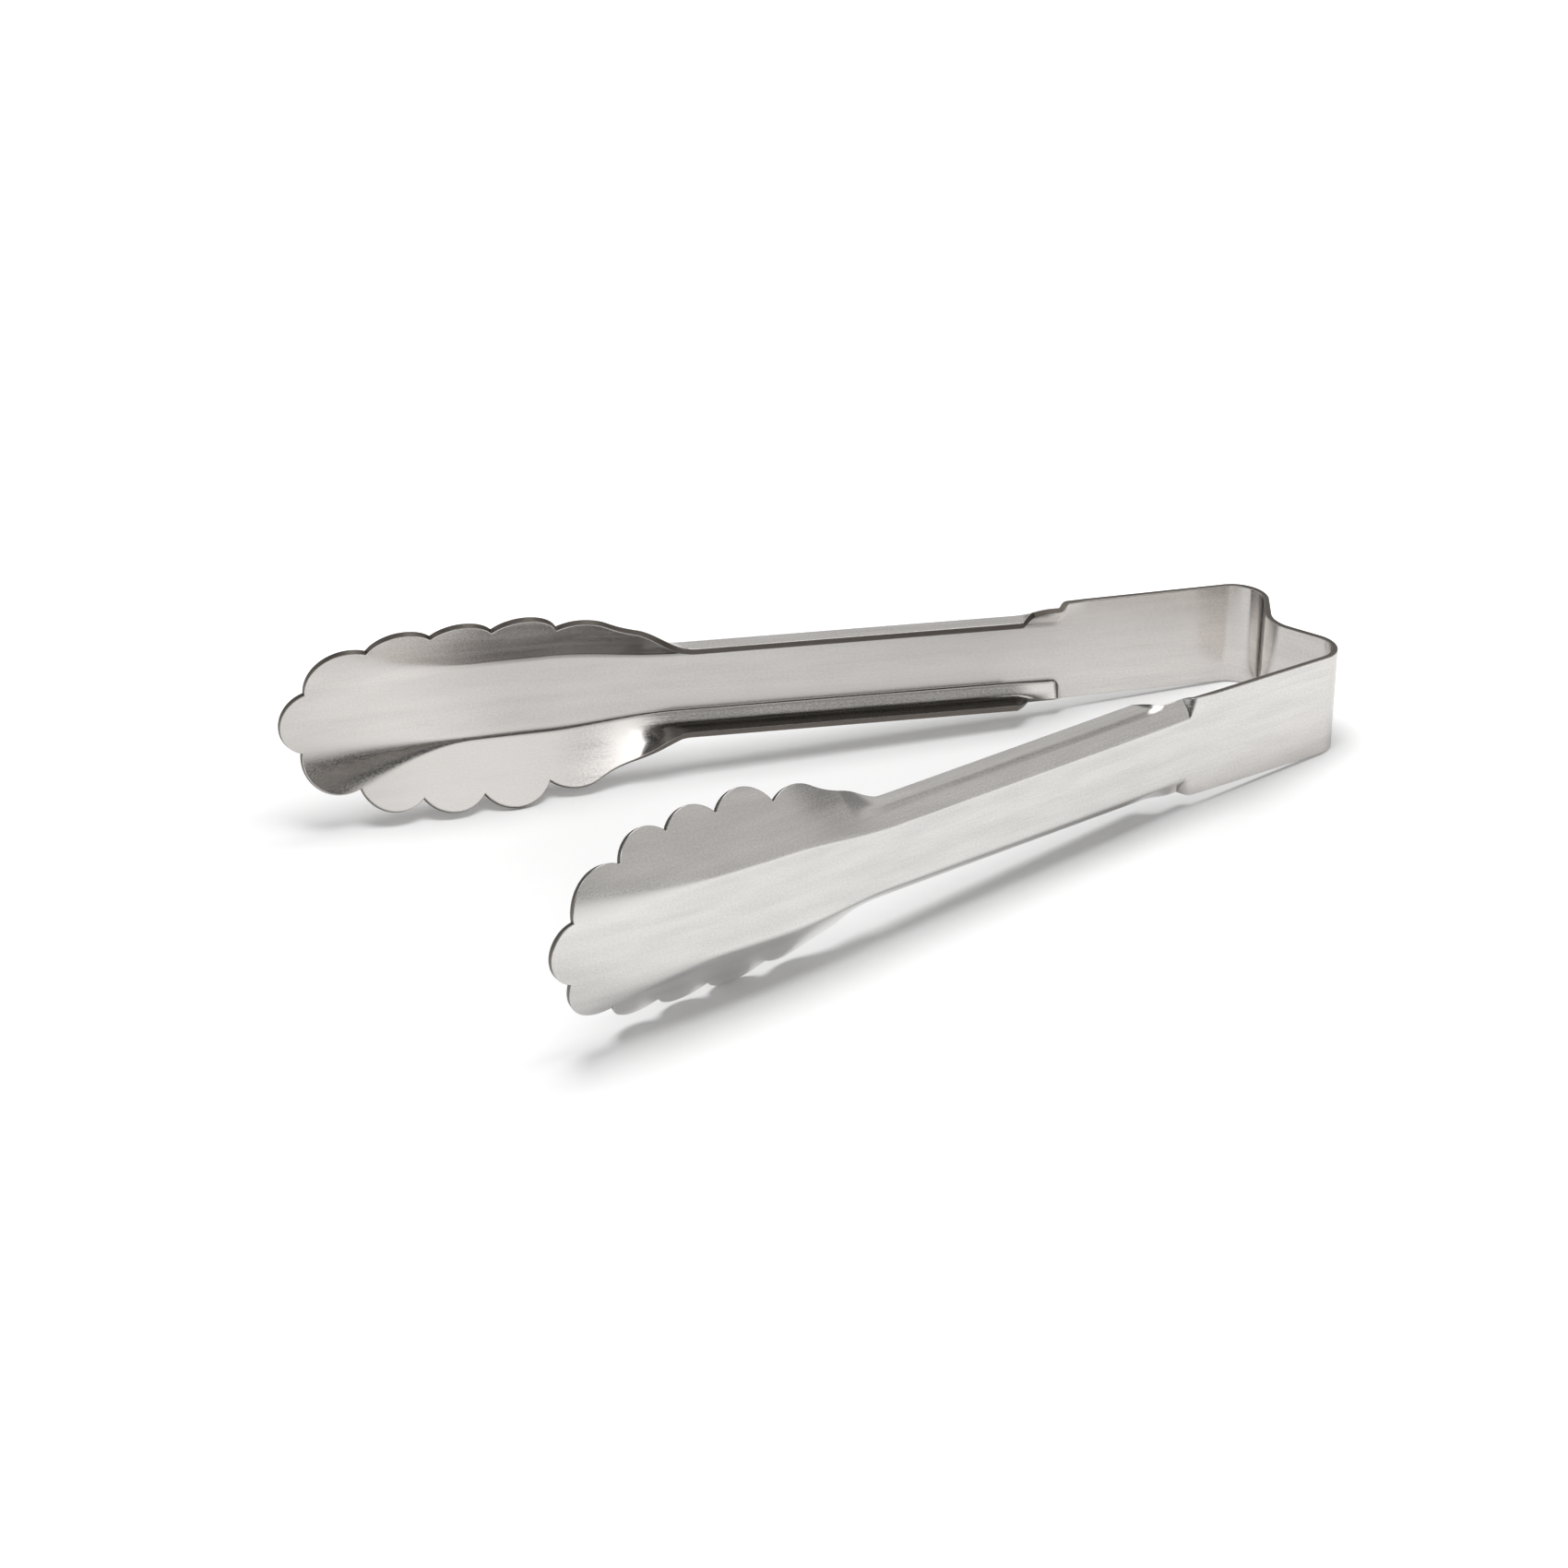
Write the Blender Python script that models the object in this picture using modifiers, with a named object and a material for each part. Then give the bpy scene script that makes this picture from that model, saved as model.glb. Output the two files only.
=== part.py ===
"""Kitchen tongs bent from one strip of stainless spring steel.

The strip stands on its edge. Its middle is a bow with a dip, followed on each
side by a flat spring leaf, a stiff channel arm and a scalloped head. The bow
lies towards +X, the heads towards -X, the near arm on the -Y side and the far
arm on the +Y side. Because the heads are wider than the strip, the tongs lie
on the lowest scallops and on the lower edge of the bow, a little tilted.

A place on the strip is given by two distances on the flat blank: s, along the
strip from the middle of the bow, negative on the near side, and q, across the
strip from its middle line.
"""
import math

import bmesh
import bpy
from mathutils import Vector

# Sheet and strip
SHEET = 0.0015
STRIP_WIDTH = 0.0254
FLEX_GAP = 0.0003

# Bow, followed from its middle outwards, radii at the middle of the sheet
DIP_RADIUS = 0.00925
DIP_TURN = math.radians(28.7)
FLANK_LENGTH = 0.00855
CORNER_RADIUS = 0.0074

# Spring leaves
LEAF_LENGTH = 0.0418
LEAF_LEAN = math.radians(10.0)

# Arms, measured from the end of the leaf to the tip of the head
ARM_LENGTH = 0.1973
ARM_LEAN = math.radians(13.2)
SETTING_LENGTH = 0.0025
HEAD_CURVE_LENGTH = 0.093
HEAD_CURVE_TURN = math.radians(9.6)

# Channel section of the arms
WEB_HALF = 0.0078
MARGIN_WIDTH = 0.0041
MARGIN_TURN = math.radians(43.5)
FLANGE_WIDTH = 0.0050
FLANGE_TURN = math.radians(45.5)
BEND_WIDTH = 0.0014
CREASE_WIDTH = 0.0020

# Start of the channel: the margins dip, are pressed in with a rounded end, and
# after a plain length the blank steps out at 45 degrees to the flange
DIP_IN_LENGTH = 0.0066
DIP_IN_SHARE = 0.40
PRESS_LEAD = 0.0010
PRESS_LENGTH = 0.0030
PRESS_ROUND = 0.0022
PRESS_BEND_WIDTH = 0.0040
PRESS_TURN_SHARE = 0.78
PLAIN_LENGTH = 0.0086

# Neck, where the flanges open out and the edge rises to the first half lobe
NECK_LENGTH = 0.0330
NECK_SLOPE = 0.30
FLARE_LEAD = 0.0025
FLARE_LENGTH = 0.0125
END_LOBE_LENGTH = 0.0130
END_LOBE_HALF = 0.0228
END_LOBE_SLOPE = 0.60
END_LOBE_RISE = 0.0021

# Head: five notches on each side, one lobe between each two
HEAD_LENGTH = 0.0671
HEAD_HALF = 0.0239
HEAD_WEB_HALF = 0.0090
TIP_WEB_HALF = 0.0010
HEAD_BEND_WIDTH = 0.0018
TIP_BEND_WIDTH = 0.0250
HEAD_TURN = math.radians(36.0)
TIP_TURN = math.radians(30.0)
LOBE_RISES = (0.0048, 0.0039, 0.0044, 0.0052)
TIP_RISE = 0.00585
NOTCH_LENGTH_SHARES = (0.0, 0.2495, 0.4764, 0.7008, 0.9138)
NOTCH_WIDTH_SHARES = (0.935, 0.995, 0.96, 0.772, 0.322)
SOFT_START_SHARE = 0.25
SOFT_END_SHARE = 1.1

# Flexing places, as shares of the springy length from the middle of the bow
BOW_FLEX_SHARE = 0.25
LEAF_FLEX_SHARE = 0.75

# Facets
BOW_FACET = 0.0012
LEAF_FACET = 0.0120
FLANGE_FACET = 0.0120
PRESS_FACET = 0.0020
DETAIL_FACET = 0.0005
NECK_FACET = 0.0030
HEAD_FACET = 0.0036
LOBE_STEPS = 8
NECK_STEPS = 12
BEND_STEPS = 3
HEAD_ROWS = 6
WEB_ROWS = 2
MERGE_DISTANCE = 0.000001

# Sizes that follow from those above
STRIP_HALF = STRIP_WIDTH / 2
CREASE_HALF = WEB_HALF + MARGIN_WIDTH
FLANGE_HALF = CREASE_HALF + FLANGE_WIDTH
CORNER_TURN = DIP_TURN + math.radians(90.0) - LEAF_LEAN
DIP_LENGTH = DIP_RADIUS * DIP_TURN
CORNER_LENGTH = CORNER_RADIUS * CORNER_TURN
BOW_LENGTH = DIP_LENGTH + FLANK_LENGTH + CORNER_LENGTH
SPRING_LENGTH = BOW_LENGTH + LEAF_LENGTH
BOW_FLEX = BOW_FLEX_SHARE * SPRING_LENGTH
LEAF_FLEX = LEAF_FLEX_SHARE * SPRING_LENGTH
STRIP_END = SPRING_LENGTH + ARM_LENGTH
HEAD_START = STRIP_END - HEAD_LENGTH
NECK_START = HEAD_START - NECK_LENGTH
PRESS_START = SPRING_LENGTH - PRESS_LEAD
FLANGE_START = SPRING_LENGTH + PLAIN_LENGTH

COLLECTION_NAME = "kitchen_tongs"
STEEL_COLOUR = (0.62, 0.61, 0.60, 1.0)
STEEL_ROUGHNESS = 0.32


def clear_scene():
    """Removes what the scene holds."""
    for old in list(bpy.data.objects):
        bpy.data.objects.remove(old, do_unlink=True)


def smooth_share(value, start, end):
    """Rises smoothly from 0 at start to 1 at end."""
    share = (value - start) / (end - start)
    share = min(max(share, 0.0), 1.0)
    return share * share * (3 - 2 * share)


def mix(first, second, share):
    """The value a share of the way from the first to the second."""
    return first + (second - first) * share


def walk(stretches, distance):
    """Follows straight and round stretches, each a length and a turn.

    Gives how far ahead and aside the walk has come, and its heading.
    """
    ahead = 0.0
    aside = 0.0
    heading = 0.0
    left = distance
    last = len(stretches) - 1
    for index, (length, turn) in enumerate(stretches):
        step = left if index == last else min(left, length)
        bend = turn * step / length if length > 0 else 0.0
        if bend == 0:
            ahead += step * math.cos(heading)
            aside += step * math.sin(heading)
        else:
            radius = step / bend
            ahead += radius * (math.sin(heading + bend) - math.sin(heading))
            aside += radius * (math.cos(heading) - math.cos(heading + bend))
        heading += bend
        left -= step
        if left <= 0:
            break
    return ahead, aside, heading


def plan_stretches():
    """The middle line of the strip seen from above, from the bow to a tip."""
    straight_length = ARM_LENGTH - SETTING_LENGTH - HEAD_CURVE_LENGTH
    return (
        (DIP_LENGTH, DIP_TURN),
        (FLANK_LENGTH, 0.0),
        (CORNER_LENGTH, -CORNER_TURN),
        (LEAF_LENGTH, 0.0),
        (SETTING_LENGTH, ARM_LEAN - LEAF_LEAN),
        (straight_length, 0.0),
        (HEAD_CURVE_LENGTH, -HEAD_CURVE_TURN),
    )


def section_stretches(along):
    """Half of the strip's cross-section, from its middle line to its edge."""
    dipped = smooth_share(along, SPRING_LENGTH - DIP_IN_LENGTH, SPRING_LENGTH)
    stepped = smooth_share(along, PRESS_START, PRESS_START + PRESS_LENGTH)
    pressed = mix(dipped * DIP_IN_SHARE, 1.0, stepped)
    deepened = smooth_share(along, FLANGE_START - FLANGE_WIDTH, FLANGE_START + FLANGE_WIDTH)
    opened = smooth_share(along, NECK_START, HEAD_START)
    flared = smooth_share(along, NECK_START - FLARE_LEAD, NECK_START + FLARE_LENGTH)
    head_share = (along - HEAD_START) / HEAD_LENGTH
    head_share = min(max(head_share, 0.0), 1.0)
    softness = smooth_share(head_share, SOFT_START_SHARE, SOFT_END_SHARE)

    web = WEB_HALF - BEND_WIDTH / 2 + PRESS_ROUND * (1 - stepped)
    web = mix(web, mix(HEAD_WEB_HALF, TIP_WEB_HALF, softness), opened)
    side_turn = mix(HEAD_TURN, TIP_TURN, head_share)
    margin_turn = MARGIN_TURN * pressed * mix(PRESS_TURN_SHARE, 1.0, deepened)
    side_turn = mix(margin_turn, side_turn, opened)
    head_bend = mix(HEAD_BEND_WIDTH, TIP_BEND_WIDTH, softness)
    bend = mix(PRESS_BEND_WIDTH, BEND_WIDTH, stepped)
    bend = mix(bend, head_bend, opened)
    crease_turn = FLANGE_TURN * deepened * (1 - flared)
    margin = max(CREASE_HALF - CREASE_WIDTH / 2 - web - bend, 0.0)
    return (
        (web, 0.0),
        (bend, side_turn),
        (margin, 0.0),
        (CREASE_WIDTH, crease_turn),
        (FLANGE_WIDTH, 0.0),
    )


def fold(s, q):
    """The place in space of a point on the middle of the sheet."""
    side = -1.0 if s < 0 else 1.0
    along = abs(s)
    across, forward, heading = walk(plan_stretches(), along)
    rise, inset, _ = walk(section_stretches(along), abs(q))
    x = forward - inset * math.cos(heading)
    y = across + inset * math.sin(heading)
    z = rise if q >= 0 else -rise
    return Vector((x, side * y, z))


def arc_points(start, end, rise, steps):
    """Points of an arc from start to end that rises to the right of the way."""
    start = Vector(start)
    end = Vector(end)
    chord = end - start
    half = chord.length / 2
    radius = (half * half + rise * rise) / (2 * rise)
    ahead = chord.normalized()
    aside = Vector((-ahead.y, ahead.x))
    centre = (start + end) / 2 - aside * (radius - rise)
    reach = math.asin(min(half / radius, 1.0))
    points = []
    for step in range(steps + 1):
        angle = mix(-reach, reach, step / steps)
        points.append(centre + radius * (ahead * math.sin(angle) + aside * math.cos(angle)))
    return points


def notches():
    """The notches between the lobes on one side of the blank."""
    places = []
    for length_share, width_share in zip(NOTCH_LENGTH_SHARES, NOTCH_WIDTH_SHARES):
        along = HEAD_START + length_share * HEAD_LENGTH
        places.append(Vector((along, width_share * HEAD_HALF)))
    return places


def head_outline():
    """The upper edge of the blank from the flange round the lobes to the tip."""
    places = notches()
    start = Vector((NECK_START, FLANGE_HALF))
    end = Vector((HEAD_START - END_LOBE_LENGTH, END_LOBE_HALF))
    reach = end.x - start.x
    outline = []
    for step in range(NECK_STEPS):
        share = step / NECK_STEPS
        rise = mix(start.y, end.y, smooth_share(share, 0.0, 1.0))
        rise += NECK_SLOPE * reach * share * (1 - share) ** 2
        rise -= END_LOBE_SLOPE * reach * share * share * (1 - share)
        outline.append(Vector((mix(start.x, end.x, share), rise)))
    outline += arc_points(end, places[0], END_LOBE_RISE, LOBE_STEPS)
    for first, second, rise in zip(places, places[1:], LOBE_RISES):
        outline += arc_points(first, second, rise, LOBE_STEPS)[1:]
    last = places[-1]
    tip = arc_points(last, (last.x, -last.y), TIP_RISE, LOBE_STEPS)
    outline += tip[1:LOBE_STEPS // 2 + 1]
    return outline


def steps_between(start, end, longest):
    """Even places from start to end, no further apart than the longest."""
    count = max(math.ceil((end - start) / longest), 1)
    return [mix(start, end, step / count) for step in range(count + 1)]


def blank(outline, stations, rows):
    """A flat half blank cut into cells along its stations and its rows."""
    mesh = bmesh.new()
    corners = [mesh.verts.new((point[0], point[1], 0.0)) for point in outline]
    mesh.faces.new(corners)
    for station in stations:
        cut(mesh, (station, 0.0, 0.0), (1.0, 0.0, 0.0))
    for row in rows:
        cut(mesh, (0.0, row, 0.0), (0.0, 1.0, 0.0))
    bmesh.ops.triangulate(mesh, faces=mesh.faces[:])
    return mesh


def cut(mesh, place, direction):
    """Cuts every face that crosses a plane."""
    parts = mesh.verts[:] + mesh.edges[:] + mesh.faces[:]
    bmesh.ops.bisect_plane(mesh, geom=parts, dist=MERGE_DISTANCE, plane_co=place, plane_no=direction)


def steel(name):
    """Satin stainless steel."""
    material = bpy.data.materials.new(name + "_steel")
    material.use_nodes = True
    shader = material.node_tree.nodes["Principled BSDF"]
    shader.inputs["Base Color"].default_value = STEEL_COLOUR
    shader.inputs["Metallic"].default_value = 1.0
    shader.inputs["Roughness"].default_value = STEEL_ROUGHNESS
    return material


def empty(name, place, parent, collection):
    """An empty that carries what turns about it."""
    holder = bpy.data.objects.new(name, None)
    collection.objects.link(holder)
    holder.parent = parent
    holder.location = place
    return holder


def sheet_piece(name, half_blank, side, origin, parent, collection):
    """Folds a half blank into its shape, mirrors it and gives it its thickness."""
    for corner in half_blank.verts:
        corner.co = fold(side * corner.co.x, corner.co.y) - origin
    bmesh.ops.remove_doubles(half_blank, verts=half_blank.verts[:], dist=MERGE_DISTANCE)
    mesh = bpy.data.meshes.new(name)
    half_blank.to_mesh(mesh)
    half_blank.free()
    mesh.shade_smooth()
    mesh.materials.append(steel(name))
    piece = bpy.data.objects.new(name, mesh)
    collection.objects.link(piece)
    piece.parent = parent
    halves = piece.modifiers.new("halves", "MIRROR")
    halves.use_axis = (False, False, True)
    halves.merge_threshold = MERGE_DISTANCE
    thickness = piece.modifiers.new("thickness", "SOLIDIFY")
    thickness.thickness = SHEET
    thickness.offset = 0.0
    thickness.use_even_offset = True
    return piece


def bow_blank():
    """Half of the bow, from one flexing place over the dip to the other."""
    reach = BOW_FLEX - FLEX_GAP / 2
    outline = ((-reach, 0.0), (reach, 0.0), (reach, STRIP_HALF), (-reach, STRIP_HALF))
    return blank(outline, steps_between(-reach, reach, BOW_FACET), (STRIP_HALF / 2,))


def leaf_blank():
    """Half of a leaf, from the corner of the bow to the flexing place."""
    start = BOW_FLEX + FLEX_GAP / 2
    end = LEAF_FLEX - FLEX_GAP / 2
    outline = ((start, 0.0), (end, 0.0), (end, STRIP_HALF), (start, STRIP_HALF))
    stations = steps_between(start, BOW_LENGTH, BOW_FACET) + steps_between(BOW_LENGTH, end, LEAF_FACET)
    return blank(outline, stations, (STRIP_HALF / 2,))


def arm_blank():
    """Half of an arm and its head, from the flexing place to the tip."""
    start = LEAF_FLEX + FLEX_GAP / 2
    dip_start = SPRING_LENGTH - DIP_IN_LENGTH
    press_end = PRESS_START + PRESS_LENGTH
    flange_full = FLANGE_START + FLANGE_WIDTH
    flare_start = NECK_START - FLARE_LEAD
    outline = [Vector((start, 0.0)), Vector((start, STRIP_HALF)), Vector((FLANGE_START, STRIP_HALF))]
    outline.append(Vector((FLANGE_START + FLANGE_HALF - STRIP_HALF, FLANGE_HALF)))
    outline += head_outline()
    stations = steps_between(dip_start, PRESS_START, PRESS_FACET)
    stations += steps_between(PRESS_START, press_end, DETAIL_FACET)
    stations += steps_between(FLANGE_START - FLANGE_WIDTH, flange_full, PRESS_FACET)
    stations += steps_between(flange_full, flare_start, FLANGE_FACET)
    stations += steps_between(flare_start, HEAD_START, NECK_FACET)
    stations += steps_between(HEAD_START, STRIP_END, HEAD_FACET)
    rows = steps_between(0.0, WEB_HALF - BEND_WIDTH / 2, (WEB_HALF - BEND_WIDTH / 2) / WEB_ROWS)
    rows += steps_between(WEB_HALF - BEND_WIDTH / 2, WEB_HALF + BEND_WIDTH / 2, BEND_WIDTH / BEND_STEPS)
    rows += steps_between(HEAD_WEB_HALF, HEAD_WEB_HALF + HEAD_BEND_WIDTH, HEAD_BEND_WIDTH / BEND_STEPS)
    crease_start = CREASE_HALF - CREASE_WIDTH / 2
    rows += steps_between(crease_start, crease_start + CREASE_WIDTH, CREASE_WIDTH / BEND_STEPS)
    head_reach = HEAD_HALF + max(LOBE_RISES)
    rows += steps_between(FLANGE_HALF, head_reach, (head_reach - FLANGE_HALF) / HEAD_ROWS)
    return blank(outline, stations, rows)


def rest_tilt(heads, bows):
    """The tilt at which the lowest scallops and the bow's edge share a floor."""
    points = world_points(heads)
    bow_points = world_points(bows)
    toe = max(bow_points, key=lambda point: point.x - point.z)
    return max(math.atan2(toe.z - point.z, toe.x - point.x) for point in points)


def world_points(pieces):
    """The corners of the pieces as they are seen, in world space."""
    bpy.context.view_layer.update()
    view = bpy.context.evaluated_depsgraph_get()
    points = []
    for piece in pieces:
        seen = piece.evaluated_get(view)
        mesh = seen.to_mesh()
        points += [seen.matrix_world @ corner.co for corner in mesh.vertices]
        seen.to_mesh_clear()
    return points


def main():
    clear_scene()
    collection = bpy.data.collections.new(COLLECTION_NAME)
    bpy.context.scene.collection.children.link(collection)
    rest = empty("rest_frame", (0.0, 0.0, 0.0), None, collection)
    bow = sheet_piece("spring_bow", bow_blank(), 1.0, Vector((0.0, 0.0, 0.0)), rest, collection)
    arms = []
    for name, side in (("near", -1.0), ("far", 1.0)):
        bow_hinge = fold(side * BOW_FLEX, 0.0)
        leaf_hinge = fold(side * LEAF_FLEX, 0.0)
        leaf_holder = empty(name + "_leaf_flex", bow_hinge, rest, collection)
        arm_holder = empty(name + "_arm_flex", leaf_hinge - bow_hinge, leaf_holder, collection)
        sheet_piece(name + "_leaf", leaf_blank(), side, bow_hinge, leaf_holder, collection)
        arms.append(sheet_piece(name + "_arm", arm_blank(), side, leaf_hinge, arm_holder, collection))
    rest.rotation_euler = (0.0, rest_tilt(arms, [bow]), 0.0)
    pieces = [piece for piece in collection.objects if piece.type == "MESH"]
    points = world_points(pieces)
    low = [min(point[axis] for point in points) for axis in range(3)]
    high = [max(point[axis] for point in points) for axis in range(3)]
    rest.location = (-(low[0] + high[0]) / 2, -(low[1] + high[1]) / 2, -low[2])


main()
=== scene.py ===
"""Satin steel kitchen tongs bent from one strip, on a white ground.

The strip is folded here by the same rules as the CAD part, with finer facets,
rounded cut edges and no gaps. A place on the strip is given by s, along it
from the middle of the bow and negative on the near side, q, across it from its
middle line, and h, through the sheet from its middle to the outside.
"""

import math

import bmesh
import bpy
import numpy as np
from mathutils import Matrix, Vector


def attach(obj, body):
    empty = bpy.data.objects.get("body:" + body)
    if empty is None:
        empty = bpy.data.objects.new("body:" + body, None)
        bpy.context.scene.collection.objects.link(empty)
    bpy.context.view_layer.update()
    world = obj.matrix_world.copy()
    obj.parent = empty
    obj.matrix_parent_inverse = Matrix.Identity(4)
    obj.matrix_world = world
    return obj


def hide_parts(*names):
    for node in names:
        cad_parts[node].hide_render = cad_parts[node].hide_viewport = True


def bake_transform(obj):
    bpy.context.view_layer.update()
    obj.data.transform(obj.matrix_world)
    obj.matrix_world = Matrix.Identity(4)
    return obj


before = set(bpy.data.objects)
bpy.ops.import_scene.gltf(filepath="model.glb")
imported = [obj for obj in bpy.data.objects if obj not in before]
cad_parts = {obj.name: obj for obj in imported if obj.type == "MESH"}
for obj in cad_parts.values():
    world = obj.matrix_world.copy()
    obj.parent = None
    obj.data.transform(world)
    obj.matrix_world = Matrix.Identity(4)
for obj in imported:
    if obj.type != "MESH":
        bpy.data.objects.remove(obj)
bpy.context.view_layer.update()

# Sheet and strip
SHEET = 0.0015
STRIP_HALF = 0.0127
EDGE_ROUND = 0.00022

# Bow, leaves and arms, lengths followed along the strip
DIP_RADIUS = 0.00925
DIP_TURN = math.radians(28.7)
FLANK_LENGTH = 0.00855
CORNER_RADIUS = 0.0074
LEAF_LENGTH = 0.0418
LEAF_LEAN = math.radians(10.0)
ARM_LENGTH = 0.1973
ARM_LEAN = math.radians(13.2)
SETTING_LENGTH = 0.0025
HEAD_CURVE_LENGTH = 0.093
HEAD_CURVE_TURN = math.radians(9.6)

# Channel section
WEB_HALF = 0.0078
MARGIN_WIDTH = 0.0041
MARGIN_TURN = math.radians(43.5)
FLANGE_WIDTH = 0.0050
FLANGE_TURN = math.radians(45.5)
BEND_WIDTH = 0.0014
CREASE_WIDTH = 0.0020
DIP_IN_LENGTH = 0.0066
DIP_IN_SHARE = 0.40
PRESS_LEAD = 0.0010
PRESS_LENGTH = 0.0030
PRESS_ROUND = 0.0022
PRESS_BEND_WIDTH = 0.0040
PRESS_TURN_SHARE = 0.78
PLAIN_LENGTH = 0.0086

# Neck and head
NECK_LENGTH = 0.0330
NECK_SLOPE = 0.30
FLARE_LEAD = 0.0025
FLARE_LENGTH = 0.0125
END_LOBE_LENGTH = 0.0130
END_LOBE_HALF = 0.0228
END_LOBE_SLOPE = 0.60
END_LOBE_RISE = 0.0021
HEAD_LENGTH = 0.0671
HEAD_HALF = 0.0239
HEAD_WEB_HALF = 0.0090
TIP_WEB_HALF = 0.0010
HEAD_BEND_WIDTH = 0.0018
TIP_BEND_WIDTH = 0.0250
HEAD_TURN = math.radians(36.0)
TIP_TURN = math.radians(30.0)
LOBE_RISES = (0.0048, 0.0039, 0.0044, 0.0052)
TIP_RISE = 0.00585
NOTCH_LENGTH_SHARES = (0.0, 0.2495, 0.4764, 0.7008, 0.9138)
NOTCH_WIDTH_SHARES = (0.935, 0.995, 0.96, 0.772, 0.322)
SOFT_START_SHARE = 0.25
SOFT_END_SHARE = 1.1

# Sizes that follow
CREASE_HALF = WEB_HALF + MARGIN_WIDTH
FLANGE_HALF = CREASE_HALF + FLANGE_WIDTH
CORNER_TURN = DIP_TURN + math.radians(90.0) - LEAF_LEAN
DIP_LENGTH = DIP_RADIUS * DIP_TURN
CORNER_LENGTH = CORNER_RADIUS * CORNER_TURN
BOW_LENGTH = DIP_LENGTH + FLANK_LENGTH + CORNER_LENGTH
SPRING_LENGTH = BOW_LENGTH + LEAF_LENGTH
STRIP_END = SPRING_LENGTH + ARM_LENGTH
HEAD_START = STRIP_END - HEAD_LENGTH
NECK_START = HEAD_START - NECK_LENGTH
PRESS_START = SPRING_LENGTH - PRESS_LEAD
FLANGE_START = SPRING_LENGTH + PLAIN_LENGTH

# Cuts between the pieces, on flat stretches that ride one body
BOW_CUT_SHARE = 0.25
LEAF_CUT_LEAD = 0.0030
BOW_CUT = DIP_LENGTH + BOW_CUT_SHARE * FLANK_LENGTH
LEAF_CUT = BOW_LENGTH + LEAF_CUT_LEAD

# How the tongs lie: turned about Y, then moved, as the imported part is
REST_TILT = math.radians(3.826864)
REST_PLACE = (0.11322110, 0.0, 0.01313202)

# Facets, with the longest steps along and across the strip from each place on
LOBE_STEPS = 32
NECK_STEPS = 40
ROUND_ANGLES = (60.0, 30.0, 0.0)
PLAIN_STEP = 0.0005
PLAIN_ROWS = 4
ALONG_STEPS = (
    (LEAF_CUT, 0.0030),
    (SPRING_LENGTH - DIP_IN_LENGTH, 0.00030),
    (SPRING_LENGTH + PRESS_LENGTH, 0.0005),
    (FLANGE_START + FLANGE_WIDTH, 0.0020),
    (NECK_START - FLARE_LEAD, 0.0007),
)
ACROSS_STEPS = (
    (0.0, 0.0013),
    (WEB_HALF - BEND_WIDTH, 0.00020),
    (WEB_HALF + BEND_WIDTH, 0.00030),
    (CREASE_HALF + CREASE_WIDTH, 0.0008),
)

# How near counts as the same place, and the least that a corner's mitre divides by
SAME_PLACE = 1e-6
SAME_POINT = 1e-7
TINY = 1e-12
SMALL_STEP = 0.00001
LEAST_MITRE = 0.5

# In the strip's map the inside of the sheet lies this much higher than the outside
BACK_OFFSET = 0.1


def smooth(value, start, end):
    """Rises smoothly from 0 at start to 1 at end."""
    share = np.clip((value - start) / (end - start), 0.0, 1.0)
    return share * share * (3 - 2 * share)


def mix(first, second, share):
    return first + (second - first) * share


def walk(stretches, distance):
    """Follows straight and round stretches, each a length and a turn."""
    ahead = np.zeros_like(distance)
    aside = np.zeros_like(distance)
    heading = np.zeros_like(distance)
    left = distance
    for index, (length, turn) in enumerate(stretches):
        length = length + np.zeros_like(distance)
        step = left if index == len(stretches) - 1 else np.clip(left, 0.0, length)
        bend = turn * step / np.maximum(length, TINY)
        chord = step * np.sinc(bend / (2 * np.pi))
        ahead = ahead + chord * np.cos(heading + bend / 2)
        aside = aside + chord * np.sin(heading + bend / 2)
        heading = heading + bend
        left = left - step
    return ahead, aside, heading


PLAN = (
    (DIP_LENGTH, DIP_TURN),
    (FLANK_LENGTH, 0.0),
    (CORNER_LENGTH, -CORNER_TURN),
    (LEAF_LENGTH, 0.0),
    (SETTING_LENGTH, ARM_LEAN - LEAF_LEAN),
    (ARM_LENGTH - SETTING_LENGTH - HEAD_CURVE_LENGTH, 0.0),
    (HEAD_CURVE_LENGTH, -HEAD_CURVE_TURN),
)


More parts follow.
